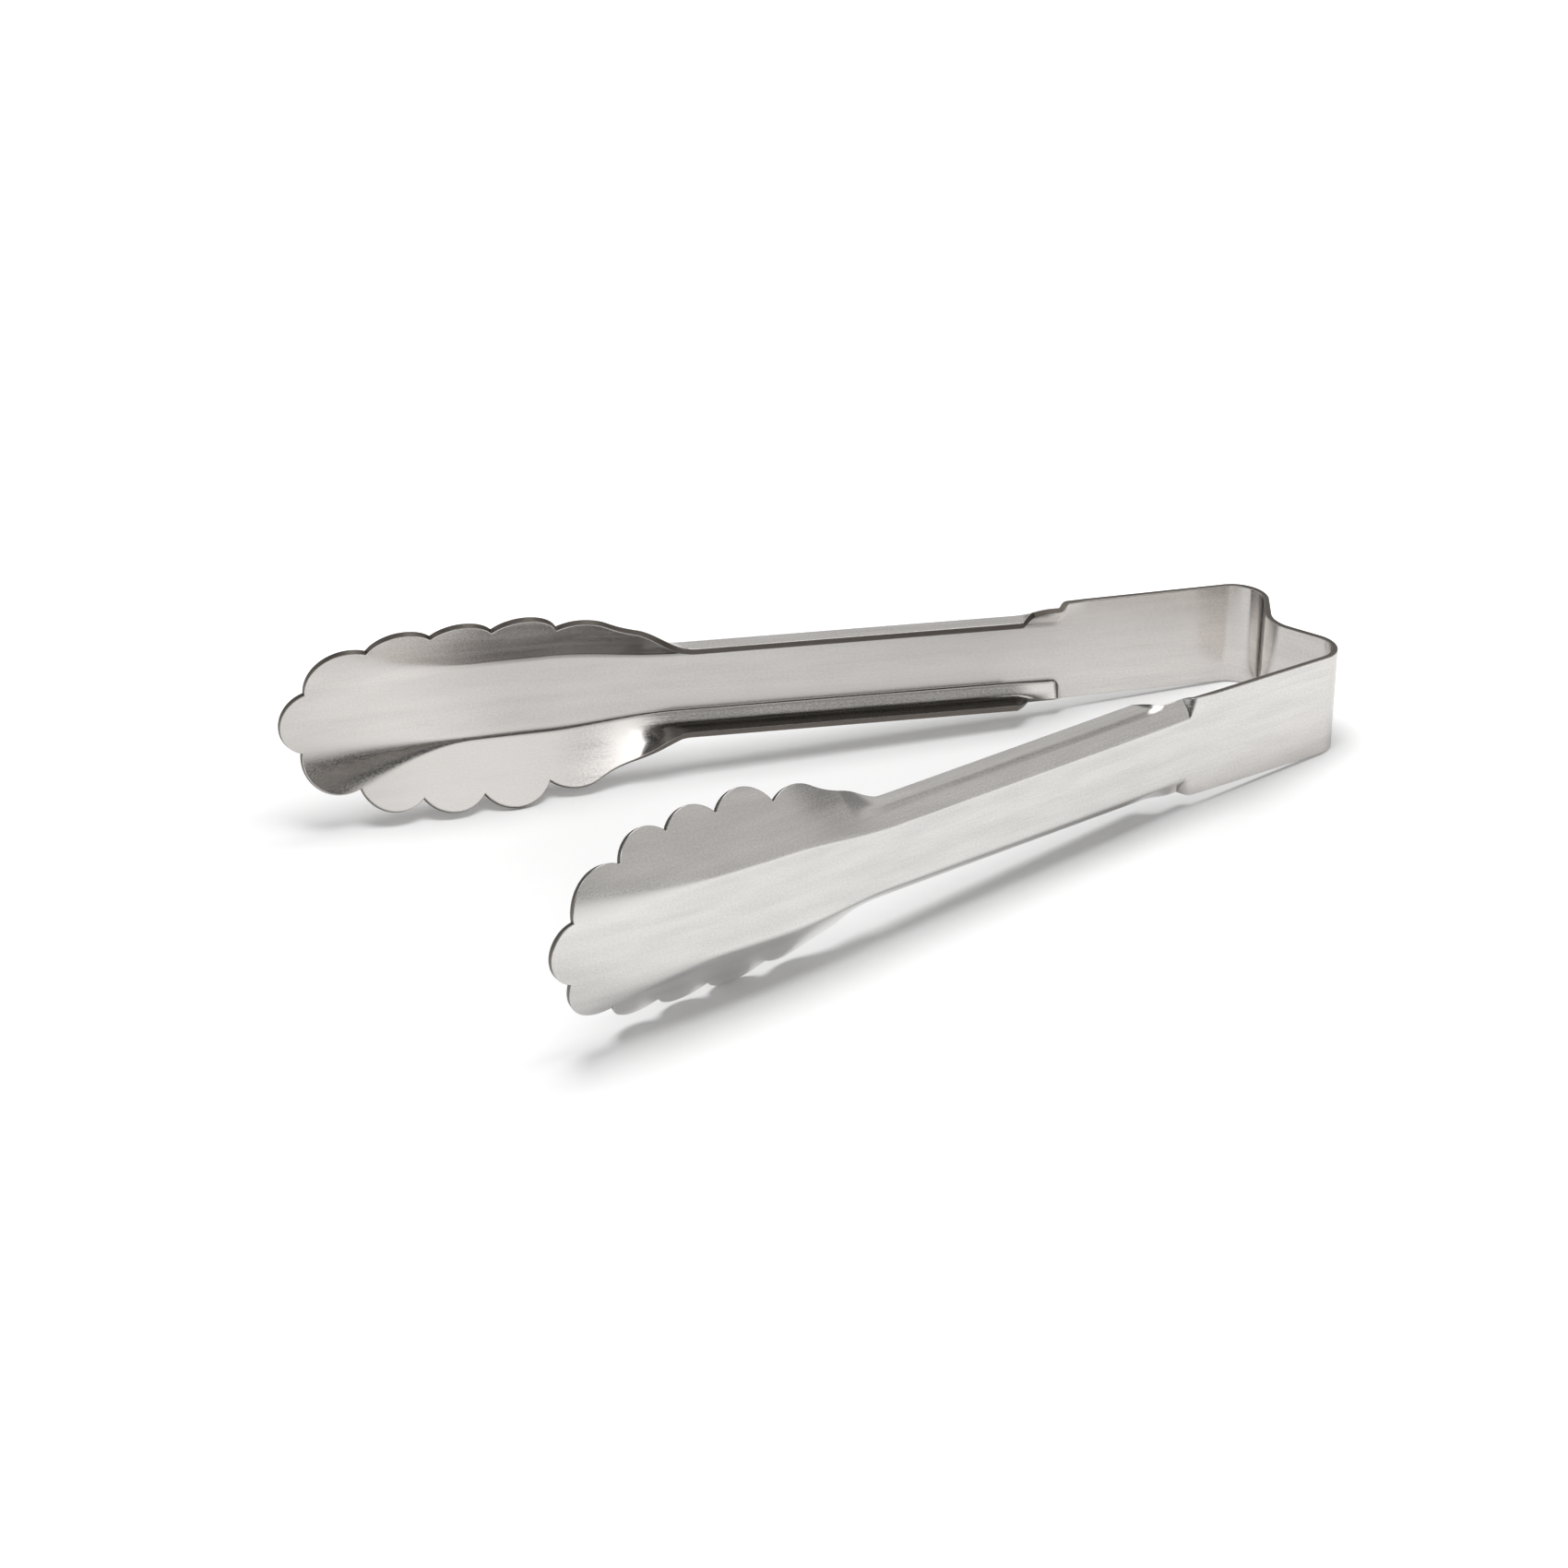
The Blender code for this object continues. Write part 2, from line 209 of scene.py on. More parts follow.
def section(along):
    """Half of the strip's cross-section, from its middle line to its edge."""
    dipped = smooth(along, SPRING_LENGTH - DIP_IN_LENGTH, SPRING_LENGTH)
    stepped = smooth(along, PRESS_START, PRESS_START + PRESS_LENGTH)
    pressed = mix(dipped * DIP_IN_SHARE, 1.0, stepped)
    deepened = smooth(along, FLANGE_START - FLANGE_WIDTH, FLANGE_START + FLANGE_WIDTH)
    opened = smooth(along, NECK_START, HEAD_START)
    flared = smooth(along, NECK_START - FLARE_LEAD, NECK_START + FLARE_LENGTH)
    head_share = np.clip((along - HEAD_START) / HEAD_LENGTH, 0.0, 1.0)
    softness = smooth(head_share, SOFT_START_SHARE, SOFT_END_SHARE)

    web = WEB_HALF - BEND_WIDTH / 2 + PRESS_ROUND * (1 - stepped)
    web = mix(web, mix(HEAD_WEB_HALF, TIP_WEB_HALF, softness), opened)
    side_turn = mix(HEAD_TURN, TIP_TURN, head_share)
    margin_turn = MARGIN_TURN * pressed * mix(PRESS_TURN_SHARE, 1.0, deepened)
    side_turn = mix(margin_turn, side_turn, opened)
    head_bend = mix(HEAD_BEND_WIDTH, TIP_BEND_WIDTH, softness)
    bend = mix(PRESS_BEND_WIDTH, BEND_WIDTH, stepped)
    bend = mix(bend, head_bend, opened)
    crease_turn = FLANGE_TURN * deepened * (1 - flared)
    margin = np.maximum(CREASE_HALF - CREASE_WIDTH / 2 - web - bend, 0.0)
    return ((web, 0.0), (bend, side_turn), (margin, 0.0), (CREASE_WIDTH, crease_turn), (FLANGE_WIDTH, 0.0))


def fold(s, q):
    """Places in space of points on the middle of the sheet, before the rest turn."""
    side = np.where(s < 0, -1.0, 1.0)
    along = np.abs(s)
    across, forward, heading = walk(PLAN, along)
    rise, inset, _ = walk(section(along), np.abs(q))
    x = forward - inset * np.cos(heading)
    y = across + inset * np.sin(heading)
    return np.stack([x, side * y, np.where(q >= 0, rise, -rise)], axis=-1)


def unit(vectors):
    return vectors / np.maximum(np.linalg.norm(vectors, axis=-1, keepdims=True), TINY)


def frame_at(s, q):
    """Place, directions along s and q, and outward normal of the sheet."""
    place = fold(s, q)
    along = fold(s + SMALL_STEP, q) - fold(s - SMALL_STEP, q)
    across = fold(s, q + SMALL_STEP) - fold(s, q - SMALL_STEP)
    return place, along, across, unit(np.cross(along, across))


def arc_points(start, end, rise, steps):
    """Points of an arc from start to end that rises to the left of the way."""
    start = Vector(start)
    end = Vector(end)
    chord = end - start
    half = chord.length / 2
    radius = (half * half + rise * rise) / (2 * rise)
    ahead = chord.normalized()
    aside = Vector((-ahead.y, ahead.x))
    centre = (start + end) / 2 - aside * (radius - rise)
    reach = math.asin(min(half / radius, 1.0))
    points = []
    for step in range(steps + 1):
        angle = mix(-reach, reach, step / steps)
        points.append(centre + radius * (ahead * math.sin(angle) + aside * math.cos(angle)))
    return points


def head_outline():
    """Upper edge of the blank from the flange round the lobes to the tip."""
    places = []
    for length_share, width_share in zip(NOTCH_LENGTH_SHARES, NOTCH_WIDTH_SHARES):
        places.append(Vector((HEAD_START + length_share * HEAD_LENGTH, width_share * HEAD_HALF)))
    start = Vector((NECK_START, FLANGE_HALF))
    end = Vector((HEAD_START - END_LOBE_LENGTH, END_LOBE_HALF))
    reach = end.x - start.x
    outline = []
    for step in range(NECK_STEPS):
        share = step / NECK_STEPS
        rise = mix(start.y, end.y, float(smooth(share, 0.0, 1.0)))
        rise += NECK_SLOPE * reach * share * (1 - share) ** 2
        rise -= END_LOBE_SLOPE * reach * share * share * (1 - share)
        outline.append(Vector((mix(start.x, end.x, share), rise)))
    outline += arc_points(end, places[0], END_LOBE_RISE, LOBE_STEPS)
    for first, second, rise in zip(places, places[1:], LOBE_RISES):
        outline += arc_points(first, second, rise, LOBE_STEPS)[1:]
    last = places[-1]
    tip = arc_points(last, (last.x, -last.y), TIP_RISE, 2 * LOBE_STEPS)
    outline += tip[1:LOBE_STEPS + 1]
    return outline


def drawn_in(outline, distance):
    """The outline moved inwards, so that the rounded edge ends on the old one."""
    moved = []
    last = len(outline) - 1
    for index, point in enumerate(outline):
        before = outline[max(index - 1, 0)]
        after = outline[min(index + 1, last)]
        first = (point - before).normalized() if index > 0 else (after - point).normalized()
        second = (after - point).normalized()
        if index == last:
            second = Vector((0.0, -1.0))
            first = second
        inward = Vector((first.y, -first.x)) + Vector((second.y, -second.x))
        inward.normalize()
        mitre = max(inward.dot(Vector((first.y, -first.x))), LEAST_MITRE)
        moved.append(point + inward * distance / mitre)
    return moved


def spread(start, end, longest):
    """Places from start to end in equal steps, none longer than longest."""
    count = max(math.ceil((end - start) / longest), 1)
    return [mix(start, end, step / count) for step in range(count + 1)]


def graded(stretches, end):
    """Places from stretch to stretch, each a start and its own longest step."""
    starts = [start for start, _ in stretches]
    places = [starts[0]]
    for (start, longest), stop in zip(stretches, starts[1:] + [end]):
        places += spread(start, stop, longest)[1:]
    return places


def cut_blank(outline, stations, rows):
    """A flat half blank cut into cells: its corners and its faces."""
    mesh = bmesh.new()
    mesh.faces.new([mesh.verts.new((point[0], point[1], 0.0)) for point in reversed(outline)])
    planes = [((0, row, 0), (0, 1, 0)) for row in rows]
    planes += [((station, 0, 0), (1, 0, 0)) for station in stations]
    for place, normal in planes:
        parts = mesh.verts[:] + mesh.edges[:] + mesh.faces[:]
        bmesh.ops.bisect_plane(mesh, geom=parts, dist=SAME_POINT, plane_co=place, plane_no=normal)
    mesh.verts.ensure_lookup_table()
    corners = np.array([(corner.co.x, corner.co.y) for corner in mesh.verts])
    faces = [[corner.index for corner in face.verts] for face in mesh.faces]
    mesh.free()
    return corners, faces


def both_halves(corners, faces):
    """Adds the mirror image below the middle line and joins the two along it."""
    on_line = corners[:, 1] < SAME_PLACE
    corners[on_line, 1] = 0.0
    mirror = np.where(on_line, np.arange(len(corners)), -1)
    upper = np.flatnonzero(~on_line)
    mirror[upper] = len(corners) + np.arange(len(upper))
    lower = corners[upper] * np.array([1.0, -1.0])
    turned = [[int(mirror[index]) for index in reversed(face)] for face in faces]
    return np.vstack([corners, lower]), faces + turned


def cut_at(corner, cuts):
    """The cut that a corner lies on, or None."""
    for cut in cuts:
        if abs(corner[0] - cut) < SAME_PLACE:
            return cut
    return None


def rim_edges(corners, faces, cuts):
    """Edges with a face on one side only that don't run along a cut."""
    seen = {}
    for face in faces:
        for first, second in zip(face, face[1:] + face[:1]):
            seen[(first, second)] = True
    rim = []
    for first, second in seen:
        if (second, first) in seen:
            continue
        cut = cut_at(corners[first], cuts)
        if cut is None or cut != cut_at(corners[second], cuts):
            rim.append((first, second))
    return rim


def outward_ways(corners, rim):
    """The way out of the blank at each corner of the rim, longer where it turns."""
    normals = {}
    for first, second in rim:
        way = corners[second] - corners[first]
        normal = np.array([way[1], -way[0]]) / max(np.hypot(*way), TINY)
        for index in (first, second):
            normals.setdefault(index, []).append(normal)
    ways = {}
    for index, near in normals.items():
        middle = unit(np.sum(near, axis=0))
        ways[index] = middle / max(float(middle @ near[0]), LEAST_MITRE)
    return ways


# Rows of points round an edge, each an angle and the face that it lies beside
EDGE_ROWS = [(angle, 1) for angle in ROUND_ANGLES] + [(-angle, -1) for angle in reversed(ROUND_ANGLES)]


def sheet_points(corners, outward):
    """Points of both faces of the sheet, then of its rounded edge, row by row.

    For each point: its place on the strip, its height in the sheet, how far its
    normal points up, which way out it leans, and how much it is cut edge.
    """
    half = SHEET / 2
    flat = np.zeros_like(corners)
    layers = [(corners, half, 1.0, flat, 0.0), (corners, -half, -1.0, flat, 0.0)]
    around = corners[list(outward)]
    ways = np.array(list(outward.values()))
    for angle, face in EDGE_ROWS:
        turn = math.radians(angle)
        height = (half - EDGE_ROUND) * face + EDGE_ROUND * math.sin(turn)
        places = around + ways * EDGE_ROUND * math.cos(turn)
        edge = 1 - abs(angle) / ROUND_ANGLES[0]
        layers.append((places, height, math.sin(turn), ways * math.cos(turn), edge))
    columns = []
    for places, height, up, out, edge in layers:
        count = len(places)
        columns.append((places, np.full(count, height), np.full(count, up), out, np.full(count, edge)))
    return [np.concatenate(column) for column in zip(*columns)]


def edge_chains(count, outward):
    """At each corner of the rim, its points from one face round to the other."""
    chains = {}
    for position, index in enumerate(outward):
        ring = [2 * count + row * len(outward) + position for row in range(len(EDGE_ROWS))]
        chains[index] = [index] + ring + [index + count]
    return chains


def closed_faces(corners, faces, rim, chains, cuts):
    """Faces of the closed piece: both sides, the rounded edges and the cut ends."""
    count = len(corners)
    closed = [list(face) for face in faces]
    closed += [[index + count for index in reversed(face)] for face in faces]
    for first, second in rim:
        one = chains[first]
        two = chains[second]
        for step in range(len(one) - 1):
            closed.append([two[step], one[step], one[step + 1], two[step + 1]])
    for cut in cuts:
        line = [index for index in range(count) if abs(corners[index][0] - cut) < SAME_PLACE]
        line.sort(key=lambda index: corners[index][1])
        ring = line + chains[line[-1]][1:-1] + [index + count for index in reversed(line)]
        ring += list(reversed(chains[line[0]][1:-1]))
        if cut != min(cuts):
            ring.reverse()
        closed.append(ring)
    return closed


def strip_piece(name, outline, stations, rows, side, cuts, material):
    """A closed piece of the strip, with rounded edges where it isn't cut."""
    corners, faces = both_halves(*cut_blank(outline, stations, rows))
    rim = rim_edges(corners, faces, cuts)
    outward = outward_ways(corners, rim)
    places, height, up, out, edge = sheet_points(corners, outward)
    faces = closed_faces(corners, faces, rim, edge_chains(len(corners), outward), cuts)
    if side < 0:
        faces = [list(reversed(face)) for face in faces]

    s = side * places[:, 0]
    q = places[:, 1]
    middle, along, across, normal = frame_at(s, q)
    aside = unit(along * side * out[:, :1] + across * out[:, 1:])
    lean = np.sqrt(np.clip(1 - up * up, 0, 1))
    normals = unit(normal * up[:, None] + aside * lean[:, None])
    turn = np.array(Matrix.Rotation(REST_TILT, 3, "Y"))
    points = (middle + normal * height[:, None]) @ turn.T + np.array(REST_PLACE)

    mesh = bpy.data.meshes.new(name)
    mesh.from_pydata(points.tolist(), [], faces)
    mesh.materials.append(material)
    corner_of = np.zeros(len(mesh.loops), dtype=np.int32)
    mesh.loops.foreach_get("vertex_index", corner_of)
    strip_map = np.stack([s, q + (height < 0) * BACK_OFFSET], axis=-1)[corner_of]
    mesh.uv_layers.new(name="strip").data.foreach_set("uv", strip_map.astype(np.float32).ravel())
    cut_edge = mesh.attributes.new("cut_edge", "FLOAT", "POINT")
    cut_edge.data.foreach_set("value", edge.astype(np.float32))
    mesh.shade_smooth()
    mesh.normals_split_custom_set_from_vertices((normals @ turn.T).tolist())
    mesh.update()
    piece = bpy.data.objects.new(name, mesh)
    bpy.context.scene.collection.objects.link(piece)
    return piece


def plain_piece(name, start, end, side, material):
    """A stretch of plain strip, cut at both ends."""
    half = STRIP_HALF - EDGE_ROUND
    outline = [Vector((start, 0.0)), Vector((start, half)), Vector((end, half)), Vector((end, 0.0))]
    rows = [half * row / PLAIN_ROWS for row in range(1, PLAIN_ROWS)]
    stations = spread(start, end, PLAIN_STEP)[1:-1]
    return strip_piece(name, outline, stations, rows, side, (start, end), material)


def arm_piece(name, side, material):
    """The rest of a leaf, the channel arm and the head."""
    edge = [Vector((LEAF_CUT, STRIP_HALF)), Vector((FLANGE_START, STRIP_HALF))]
    edge.append(Vector((FLANGE_START + FLANGE_HALF - STRIP_HALF, FLANGE_HALF)))
    edge += head_outline()
    outline = [Vector((LEAF_CUT, 0.0))] + drawn_in(edge, EDGE_ROUND)
    outline[-1].y = 0.0
    stations = graded(ALONG_STEPS, STRIP_END)[1:-1]
    rows = graded(ACROSS_STEPS, HEAD_HALF + 2 * max(LOBE_RISES))[1:]
    return strip_piece(name, outline, stations, rows, side, (LEAF_CUT,), material)


def feed(tree, socket, value):
    """Links a socket to another one, or sets it to a plain value."""
    if isinstance(value, bpy.types.NodeSocket):
        tree.links.new(value, socket)
    else:
        socket.default_value = value


def math_node(tree, operation, *values):
    node = tree.nodes.new("ShaderNodeMath")
    node.operation = operation
    for index, value in enumerate(values):
        feed(tree, node.inputs[index], value)
    return node.outputs[0]


def product(tree, first, *others):
    for other in others:
        first = math_node(tree, "MULTIPLY", first, other)
    return first


def highest(tree, first, *others):
    for other in others:
        first = math_node(tree, "MAXIMUM", first, other)
    return first


def ramp(tree, value, start, end, low=0.0, high=1.0):
    """Goes smoothly from low at start to high at end."""
    node = tree.nodes.new("ShaderNodeMapRange")
    node.interpolation_type = "SMOOTHSTEP"
    for name, number in (("From Min", start), ("From Max", end), ("To Min", low), ("To Max", high)):
        feed(tree, node.inputs[name], number)
    tree.links.new(value, node.inputs["Value"])
    return node.outputs["Result"]


def fall(tree, value, start, end):
    """Goes smoothly from 1 at start to 0 at end."""
    return ramp(tree, value, start, end, 1.0, 0.0)


def band(tree, value, opening, closing):
    """1 between two soft ends, each a place where it starts and where it ends."""
    return product(tree, ramp(tree, value, *opening), fall(tree, value, *closing))


def noise(tree, vector, scale, detail, roughness):
    """Noise whose grain is stretched by a scale in each direction."""
    stretch = tree.nodes.new("ShaderNodeVectorMath")
    stretch.operation = "MULTIPLY"
    stretch.inputs[1].default_value = scale
    tree.links.new(vector, stretch.inputs[0])
    node = tree.nodes.new("ShaderNodeTexNoise")
    node.inputs["Scale"].default_value = 1.0
    node.inputs["Detail"].default_value = detail
    node.inputs["Roughness"].default_value = roughness
    tree.links.new(stretch.outputs[0], node.inputs["Vector"])
    return node.outputs["Fac"]


def blend_number(tree, share, first, second):
    node = tree.nodes.new("ShaderNodeMix")
    node.data_type = "FLOAT"
    tree.links.new(share, node.inputs[0])
    feed(tree, node.inputs[2], first)
    feed(tree, node.inputs[3], second)
    return node.outputs[0]


def blend_colour(tree, share, first, second):
    node = tree.nodes.new("ShaderNodeMix")
    node.data_type = "RGBA"
    tree.links.new(share, node.inputs[0])
    feed(tree, node.inputs[6], first)
    feed(tree, node.inputs[7], second)
    return node.outputs[2]


def scaled_colour(tree, colour, level):
    node = tree.nodes.new("ShaderNodeVectorMath")
    node.operation = "SCALE"
    tree.links.new(colour, node.inputs[0])
    tree.links.new(level, node.inputs["Scale"])
    return node.outputs[0]


def new_material(name):
    """A new material, its node tree and its shader."""
    material = bpy.data.materials.new(name)
    material.use_nodes = True
    return material, material.node_tree, material.node_tree.nodes["Principled BSDF"]


# Steel
STEEL_COLOUR = (0.705, 0.678, 0.653, 1.0)
# Painted shade: the colour that darkens the insides of the folds and the creases
FOLD_SHADE_COLOUR = (0.26, 0.245, 0.23, 1.0)
# Painted shade: the darker colour of the cut edges; their higher roughness is their own
EDGE_SHADE_COLOUR = (0.19, 0.17, 0.15, 1.0)
STEEL_ROUGHNESS = 0.20
EDGE_ROUGHNESS = 0.48
TONE_ROUGHNESS = 0.6
BRUSH_SPREAD = 0.5
QUARTER_TURN = 0.25

# Tones of the steel, each a noise and how its range turns into lighter and darker
BRUSH_NOISE = ((45.0, 2600.0, 1.0), 3.0, 0.6)
BRUSH_LEVELS = (0.30, 0.70, -0.035, 0.035)
GRAIN_NOISE = ((1500.0, 2400.0, 1.0), 2.0, 0.5)
GRAIN_LEVELS = (0.25, 0.75, -0.070, 0.070)
CLOUD_NOISE = ((60.0, 240.0, 1.0), 3.0, 0.5)
CLOUD_LEVELS = (0.30, 0.70, -0.035, 0.035)
STREAK_NOISE = ((9.0, 260.0, 1.0), 2.0, 0.5)
STREAK_LEVELS = (0.35, 0.65, -0.038, 0.022)
HEAD_BRUSH_SHARE = 0.35

# Painted shade lines: how dark, how wide, and where along the strip each starts and ends
FOLD_ACROSS = (CREASE_HALF - 0.0017, CREASE_HALF + 0.0007)
FOLD_OPENING = (SPRING_LENGTH + 0.002, SPRING_LENGTH + 0.006)
FOLD_CLOSING = (NECK_START + 0.001, NECK_START + 0.010)
CREASE_SHADE = 0.70
CREASE_FADE = (0.0003, 0.0014)
CREASE_OPENING = (SPRING_LENGTH, SPRING_LENGTH + 0.004)
CREASE_CLOSING = (HEAD_START, HEAD_START + 0.035)
OUTER_SHADE = 0.62
OUTER_FADE = (0.0001, 0.0011)
OUTER_GRAIN = (0.30, 0.70, 0.4, 1.3)
OUTER_OPENING = (FLANGE_START, FLANGE_START + 0.006)
OUTER_CLOSING = (NECK_START - 0.004, NECK_START + 0.008)


def steel_tone(tree, place, along, grain):
    """Fine tones of the steel, brushed along the strip and less so on the heads."""
    brushed = ramp(tree, noise(tree, place, *BRUSH_NOISE), *BRUSH_LEVELS)
    tone = product(tree, brushed, ramp(tree, along, NECK_START, HEAD_START, 1.0, HEAD_BRUSH_SHARE))
    tone = math_node(tree, "ADD", tone, ramp(tree, grain, *GRAIN_LEVELS))
    tone = math_node(tree, "ADD", tone, ramp(tree, noise(tree, place, *CLOUD_NOISE), *CLOUD_LEVELS))
    return math_node(tree, "ADD", tone, ramp(tree, noise(tree, place, *STREAK_NOISE), *STREAK_LEVELS))


def painted_shade_share(tree, along, across, inside, grain):
    """Painted shade on the steel, and how strong it is: inside the folds, in the
    creases beside the web, and in a line on the outside of each fold, which is also grainy like stretched
    metal."""
    in_fold = product(tree, ramp(tree, across, *FOLD_ACROSS), inside)
    in_fold = product(tree, in_fold, band(tree, along, FOLD_OPENING, FOLD_CLOSING))

    bend_end = HEAD_WEB_HALF + HEAD_BEND_WIDTH / 2
    bend_place = ramp(tree, along, NECK_START, HEAD_START, WEB_HALF, bend_end)
    from_bend = math_node(tree, "ABSOLUTE", math_node(tree, "SUBTRACT", across, bend_place))
    # Painted shade along the crease beside the web, on the inside
    crease = product(tree, ramp(tree, from_bend, *CREASE_FADE, CREASE_SHADE, 0.0), inside)
    crease = product(tree, crease, band(tree, along, CREASE_OPENING, CREASE_CLOSING))

    # A line along the outside of each fold: grainy like stretched metal, and painted darker as painted
    # shade
    from_fold = math_node(tree, "ABSOLUTE", math_node(tree, "SUBTRACT", across, CREASE_HALF))
    outer = ramp(tree, from_fold, *OUTER_FADE, OUTER_SHADE, 0.0)
    outer = product(tree, outer, math_node(tree, "SUBTRACT", 1.0, inside), ramp(tree, grain, *OUTER_GRAIN))
    outer = product(tree, outer, band(tree, along, OUTER_OPENING, OUTER_CLOSING))
    return highest(tree, in_fold, crease, outer)


def steel_material(name):
    """Satin steel. The insides of the folds, the creases beside the web, the lines
    outside the folds and the cut edges are painted darker, as painted shade."""
    material, tree, shader = new_material(name)
    shader.inputs["Metallic"].default_value = 1.0
    shader.inputs["Anisotropic"].default_value = BRUSH_SPREAD
    shader.inputs["Anisotropic Rotation"].default_value = QUARTER_TURN
    tangent = tree.nodes.new("ShaderNodeTangent")
    tangent.direction_type = "UV_MAP"
    tangent.uv_map = "strip"
    tree.links.new(tangent.outputs["Tangent"], shader.inputs["Tangent"])

    strip_map = tree.nodes.new("ShaderNodeUVMap")
    strip_map.uv_map = "strip"
    place = strip_map.outputs["UV"]
    split = tree.nodes.new("ShaderNodeSeparateXYZ")
    tree.links.new(place, split.inputs[0])
    along = math_node(tree, "ABSOLUTE", split.outputs[0])
    inside = math_node(tree, "GREATER_THAN", split.outputs[1], BACK_OFFSET / 2)
    across = math_node(tree, "MULTIPLY_ADD", inside, -BACK_OFFSET, split.outputs[1])
    across = math_node(tree, "ABSOLUTE", across)

    grain = noise(tree, place, *GRAIN_NOISE)
    tone = steel_tone(tree, place, along, grain)
    cut_edge = tree.nodes.new("ShaderNodeAttribute")
    cut_edge.attribute_name = "cut_edge"
    edge = cut_edge.outputs["Fac"]
    # Painted shade in the base colour, in the folds and creases
    colour = blend_colour(tree, painted_shade_share(tree, along, across, inside, grain), STEEL_COLOUR, FOLD_SHADE_COLOUR)
    # Painted shade on the cut edges, in the base colour
    colour = blend_colour(tree, edge, colour, EDGE_SHADE_COLOUR)
    colour = scaled_colour(tree, colour, math_node(tree, "ADD", tone, 1.0))
    tree.links.new(colour, shader.inputs["Base Color"])
    roughness = ramp(tree, edge, 0.0, 1.0, STEEL_ROUGHNESS, EDGE_ROUGHNESS)
    roughness = math_node(tree, "ADD", roughness, product(tree, tone, TONE_ROUGHNESS))
    tree.links.new(roughness, shader.inputs["Roughness"])
    return material


def make_bow(material):
    bow = plain_piece("bow_strip", -BOW_CUT, BOW_CUT, 1.0, material)
    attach(bow, "bow")
    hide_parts("spring_bow")


def make_side(label, side, material):
    """The corner and the arm of one side, shown in place of the imported leaf and arm."""
    corner = plain_piece(label + "_corner_strip", BOW_CUT, LEAF_CUT, side, material)
    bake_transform(corner)
    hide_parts(label + "_leaf")
    arm = arm_piece(label + "_arm_strip", side, material)
    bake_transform(arm)
    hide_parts(label + "_arm")


# Camera, fitted to the photograph
CAMERA_AZIMUTH = math.radians(-29.255)
CAMERA_ELEVATION = math.radians(27.310)
CAMERA_ROLL = math.radians(-0.677)
CAMERA_TARGET = (-0.02688580, -0.008595, 0.02250390)
CAMERA_DISTANCE = 2.3195
CAMERA_LENS = 226.98
CAMERA_SENSOR = 36.0
CAMERA_REACH = 50.0


def set_camera():
    data = bpy.data.cameras.new("camera")
    data.sensor_width = CAMERA_SENSOR
    data.lens = CAMERA_LENS
    data.clip_end = CAMERA_REACH
    camera = bpy.data.objects.new("camera", data)
    bpy.context.scene.collection.objects.link(camera)
    back = Vector((
        math.sin(CAMERA_AZIMUTH) * math.cos(CAMERA_ELEVATION),
        -math.cos(CAMERA_AZIMUTH) * math.cos(CAMERA_ELEVATION),
        math.sin(CAMERA_ELEVATION),
    ))
    level = Vector((math.cos(CAMERA_AZIMUTH), math.sin(CAMERA_AZIMUTH), 0.0))
    raised = back.cross(level)
    right = level * math.cos(CAMERA_ROLL) + raised * math.sin(CAMERA_ROLL)
    up = back.cross(right)
    turn = Matrix((right, up, back)).transposed()
    camera.matrix_world = Matrix.Translation(Vector(CAMERA_TARGET) + back * CAMERA_DISTANCE) @ turn.to_4x4()
    bpy.context.scene.camera = camera


# Floor: its white, and a cooler white that the steel mirrors on the near side
FLOOR_REACH = 0.6
FLOOR_WHITE = (0.9, 0.9, 0.9, 1.0)
FLOOR_COOL = (0.885, 0.905, 0.915, 1.0)
COOL_FADE_Y = (-0.050, -0.025)

# Painted shade and light on the floor that the steel mirrors: between which places its brightness changes,
# and from what to what
BETWEEN_ARMS_X = (0.04, 0.10, 0.79, 0.92)
BEHIND_NEAR_ARM_Y = (-0.060, -0.010)
UNDER_HEADS_X = (-0.085, 0.010)
PAST_TIPS_X = (-0.100, -0.080, 0.86, 1.0)

# The same painted shade and light where the steel mirrors the floor a second and a third time
DEEP_SHARE = 0.40
DEEP_TIPS_X = (-0.088, -0.055, 1.20, DEEP_SHARE)
DEEP_FAR_Y = (0.0, 0.020)
DEEP_BOW_X = (0.05, 0.08, 0.0, 1.45)
THIRD_BOW_X = (0.05, 0.08, 1.0, 0.55)

# Painted shade on the floor between the arms and behind the bow: a little greyer to the camera
INNER_HALF_Y = (0.030, 0.055)
INNER_X = (-0.130, -0.040)
INNER_LEVEL = 0.88
INNER_GLOW = 0.03

# Glow of the floor, near the tongs and away from them, to the camera and mirrored
GLOW_SQUEEZE_X = 0.7
GLOW_SHIFT_X = 0.045
GLOW_REACH = (0.105, 0.18)
NEAR_GLOW = 0.015
NEAR_GLOW_MIRRORED = 0.04
FAR_GLOW = 0.8
FAR_GLOW_MIRRORED = 0.2

# Painted light: a brighter patch of floor under the near head and arm, seen only in reflections
LOW_PATCH_GLOW = 0.12
LOW_PATCH_OPENING_Y = (-0.085, -0.070)
LOW_PATCH_CLOSING_Y = (-0.045, -0.035)
LOW_PATCH_CLOSING_X = (-0.030, -0.010)


def mirrored_level(tree, x, y, depth):
    """Painted shade and light on the floor for reflected rays: how bright it is by place and number of
    reflections.
    """
    level = ramp(tree, y, *BEHIND_NEAR_ARM_Y, 1.0, ramp(tree, x, *BETWEEN_ARMS_X))
    level = highest(tree, level, fall(tree, x, *UNDER_HEADS_X))
    level = product(tree, level, ramp(tree, x, *PAST_TIPS_X))
    deep = ramp(tree, y, *DEEP_FAR_Y, DEEP_SHARE, ramp(tree, x, *DEEP_TIPS_X))
    deep = highest(tree, deep, ramp(tree, x, *DEEP_BOW_X))
    level = product(tree, level, ramp(tree, depth, 1.0, 2.0, 1.0, deep))
    return product(tree, level, ramp(tree, depth, 2.0, 3.0, 1.0, ramp(tree, x, *THIRD_BOW_X)))


